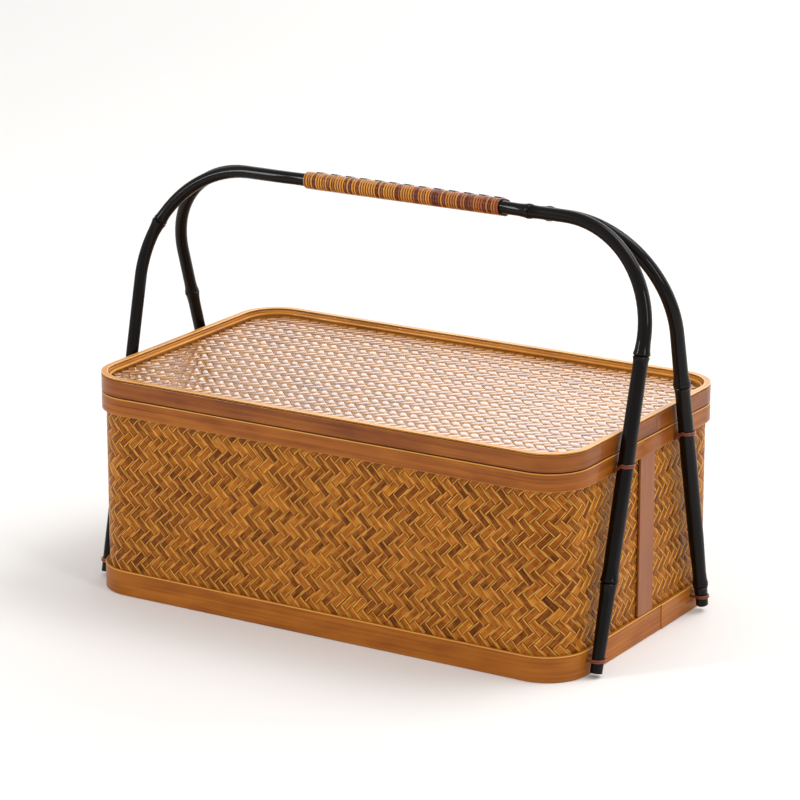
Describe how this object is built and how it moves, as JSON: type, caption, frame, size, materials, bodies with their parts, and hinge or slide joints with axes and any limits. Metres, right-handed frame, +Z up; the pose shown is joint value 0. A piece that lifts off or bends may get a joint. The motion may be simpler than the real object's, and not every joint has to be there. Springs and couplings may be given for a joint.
{
  "type": "lidded woven bamboo basket",
  "caption": "Rectangular woven bamboo carry basket with a lift-off lid and a rigid arched cane handle, for keeping and carrying fruit or food.",
  "frame": {"origin": "on the table, under the middle of the basket", "axes": "+Z up, +X along the basket towards its right end, front face towards -Y"},
  "size_m": [0.4087, 0.2244, 0.2905],
  "materials": {
    "weave": "lacquered split bamboo weave",
    "band": "glossy amber lacquer on bent bamboo",
    "ring": "glossy light lacquer on bent bamboo",
    "lining": "plain bamboo veneer",
    "timber": "plain planed wood",
    "strip": "satin split bamboo",
    "cane": "polished black bamboo cane",
    "binding": "lacquered split rattan",
    "spline": "dark stained bamboo strip",
    "lashing": "dark red-brown lacquered rattan"
  },
  "bodies": {
    "basket": {"woven_wall": "weave", "inner_lining": "lining", "base_band": "band", "rim_band": "band", "neck_band": "timber", "base_inner_band": "timber", "base_board": "timber", "base_batten_left": "timber", "base_batten_right": "timber", "end_strip_left": "strip", "end_strip_right": "strip", "cane_front": "cane", "cane_back": "cane", "grip_binding": "binding", "grip_spline": "spline", "rim_lashing_front_left": "lashing", "rim_lashing_front_right": "lashing", "rim_lashing_back_left": "lashing", "rim_lashing_back_right": "lashing", "foot_lashing_front_left": "lashing", "foot_lashing_front_right": "lashing", "foot_lashing_back_left": "lashing", "foot_lashing_back_right": "lashing"},
    "lid": {"lid_band": "band", "lid_inner_band": "timber", "lid_rim_ring": "ring", "lid_panel": "weave", "lid_board": "timber", "lid_bead": "lashing", "lid_batten_left": "timber", "lid_batten_right": "timber"}
  },
  "joints": [
    {"name": "lid_lift", "type": "slide", "parent": "basket", "child": "lid", "axis": [0, 0, 1], "range_m": [0, 0.065]}
  ]
}
